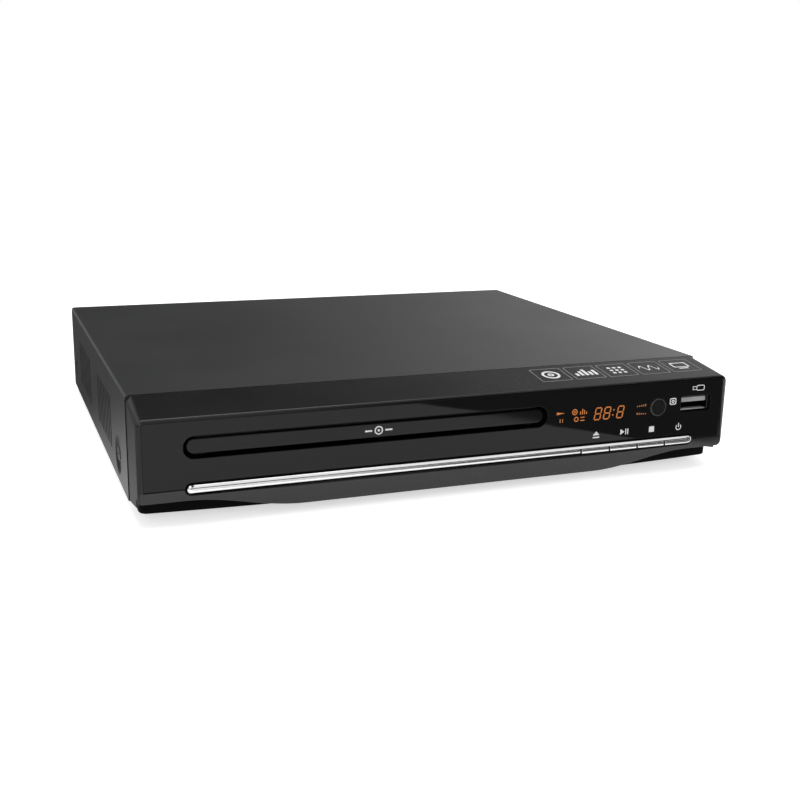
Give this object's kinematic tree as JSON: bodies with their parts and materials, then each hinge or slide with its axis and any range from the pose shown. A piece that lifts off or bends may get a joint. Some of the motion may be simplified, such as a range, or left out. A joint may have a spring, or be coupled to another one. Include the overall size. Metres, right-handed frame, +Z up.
{
  "type": "disc player",
  "caption": "Compact disc player: folded steel cover, glossy front with a sloping lip, motorised tray behind a rounded door, bright strip with sprung keys, and a loader inside.",
  "frame": {"origin": "centre of the footprint, on the floor under the rubber feet", "axes": "+X to the right of someone facing the front, +Y to the back, +Z up; the tray runs out towards -Y"},
  "size_m": [0.225, 0.2088, 0.04],
  "materials": {
    "cover_steel": "fine-textured black paint on folded steel",
    "chassis_steel": "zinc-plated sheet",
    "screw_steel": "black zinc",
    "bright_steel": "bright",
    "foot_rubber": "matte rubber",
    "panel_black": "polished black moulding",
    "lens_black": "smoked acrylic",
    "strip_chrome": "chromed plastic",
    "ir_dark": "infrared filter",
    "board_green": "solder mask",
    "board_tan": "phenolic board",
    "part_black": "moulded",
    "part_white": "acetal",
    "display_amber": "segment display",
    "loader_black": "moulded",
    "tray_black": "fine-textured moulding",
    "door_black": "polished",
    "belt_rubber": "rubber",
    "motor_steel": "nickel-plated can",
    "brass": "turned",
    "lens_glass": "coated objective",
    "transformer": "tape-wrapped",
    "cable_grey": "flat ribbon",
    "sled_grey": "die-cast"
  },
  "bodies": {
    "case": {"top_cover": "cover_steel", "base_chassis": "chassis_steel", "case_screws": "screw_steel", "rubber_feet": "foot_rubber", "front_panel": "panel_black", "face_lens": "lens_black", "trim_strip": "strip_chrome", "ir_window": "ir_dark", "front_board": "board_green", "tact_switches": "part_black", "display_module": "display_amber", "usb_shell": "bright_steel", "usb_tongue": "part_white", "loader_frame": "loader_black", "drive_belt": "belt_rubber", "loading_motor": "motor_steel", "clamp_bridge": "loader_black", "main_board": "board_green", "main_chips": "part_black", "supply_board": "board_tan", "supply_transformer": "transformer", "supply_parts": "part_black", "jack_block": "part_black", "jack_sleeves": "brass", "hdmi_socket": "bright_steel", "mains_inlet": "part_black", "inlet_pins": "bright_steel", "board_pillars": "bright_steel", "loader_screws": "bright_steel", "front_cable": "cable_grey", "supply_cable": "cable_grey"},
    "tray_unit": {"tray": "tray_black", "tray_door": "door_black"},
    "drive_wheel": {"drive_gear": "part_white"},
    "pulley_wheel": {"pulley_gear": "part_white"},
    "motor_shaft": {"motor_pulley": "brass"},
    "clamp": {"clamp_puck": "part_white"},
    "lifting_cam": {"cam_slider": "part_white"},
    "lift_unit": {"lift_frame": "chassis_steel", "guide_rods": "bright_steel", "spindle_motor": "motor_steel", "feed_motor": "motor_steel"},
    "screw_shaft": {"feed_screw": "bright_steel"},
    "disc_table": {"turntable": "part_black"},
    "pickup_sled": {"pickup": "sled_grey", "pickup_lens": "lens_glass"},
    "key_eject": {"button_eject": "strip_chrome"},
    "key_play": {"button_play": "strip_chrome"},
    "key_stop": {"button_stop": "strip_chrome"},
    "key_power": {"button_power": "strip_chrome"}
  },
  "joints": [
    {"name": "tray_slide", "type": "slide", "parent": "case", "child": "tray_unit", "axis": [0, -1, 0], "range_m": [0, 0.128]},
    {"name": "drive_gear_turn", "type": "hinge", "parent": "case", "child": "drive_wheel", "pos_m": [-0.07855, -0.083, 0.022], "axis": [0, 0, 1], "range_deg": [0, 733.75]},
    {"name": "pulley_gear_turn", "type": "hinge", "parent": "case", "child": "pulley_wheel", "pos_m": [-0.06175, -0.083, 0.02], "axis": [0, 0, 1], "range_deg": [-1834.38, 0]},
    {"name": "motor_pulley_turn", "type": "hinge", "parent": "case", "child": "motor_shaft", "pos_m": [-0.02525, -0.083, 0.018], "axis": [0, 0, 1], "range_deg": [-7269.59, 0]},
    {"name": "clamp_spin", "type": "hinge", "parent": "case", "child": "clamp", "pos_m": [-0.0313, -0.0357, 0.033], "axis": [0, 0, 1], "continuous": true},
    {"name": "lift_swing", "type": "hinge", "parent": "case", "child": "lift_unit", "pos_m": [-0.0313, 0.0557, 0.01775], "axis": [-1, 0, 0], "range_deg": [0, 4.5]},
    {"name": "cam_slide", "type": "slide", "parent": "case", "child": "lifting_cam", "axis": [1, 0, 0], "range_m": [0, 0.01401]},
    {"name": "turntable_spin", "type": "hinge", "parent": "lift_unit", "child": "disc_table", "pos_m": [-0.0313, -0.03629, 0.02169], "axis": [0, -0.0785, 0.9969], "continuous": true},
    {"name": "pickup_slide", "type": "slide", "parent": "lift_unit", "child": "pickup_sled", "axis": [0, 0.9969, 0.0785], "range_m": [0, 0.034]},
    {"name": "feed_screw_turn", "type": "hinge", "parent": "lift_unit", "child": "screw_shaft", "pos_m": [-0.0048, -0.00004, 0.01612], "axis": [0, 0.9969, 0.0785], "range_deg": [0, 4082.04]},
    {"name": "eject_press", "type": "slide", "parent": "case", "child": "key_eject", "axis": [0, 1, 0], "range_m": [0, 0.0005], "stiffness_N_per_m": 400},
    {"name": "play_press", "type": "slide", "parent": "case", "child": "key_play", "axis": [0, 1, 0], "range_m": [0, 0.0005], "stiffness_N_per_m": 400},
    {"name": "stop_press", "type": "slide", "parent": "case", "child": "key_stop", "axis": [0, 1, 0], "range_m": [0, 0.0005], "stiffness_N_per_m": 400},
    {"name": "power_press", "type": "slide", "parent": "case", "child": "key_power", "axis": [0, 1, 0], "range_m": [0, 0.0005], "stiffness_N_per_m": 400}
  ],
  "couplings": [
    {"joint": "drive_gear_turn", "follows": "tray_slide", "rad_per_m": 100},
    {"joint": "pulley_gear_turn", "follows": "tray_slide", "rad_per_m": -250},
    {"joint": "motor_pulley_turn", "follows": "tray_slide", "rad_per_m": -990.74},
    {"joint": "cam_slide", "follows": "lift_swing", "m_per_rad": 0.17825},
    {"joint": "feed_screw_turn", "follows": "pickup_slide", "rad_per_m": 2094.4}
  ]
}
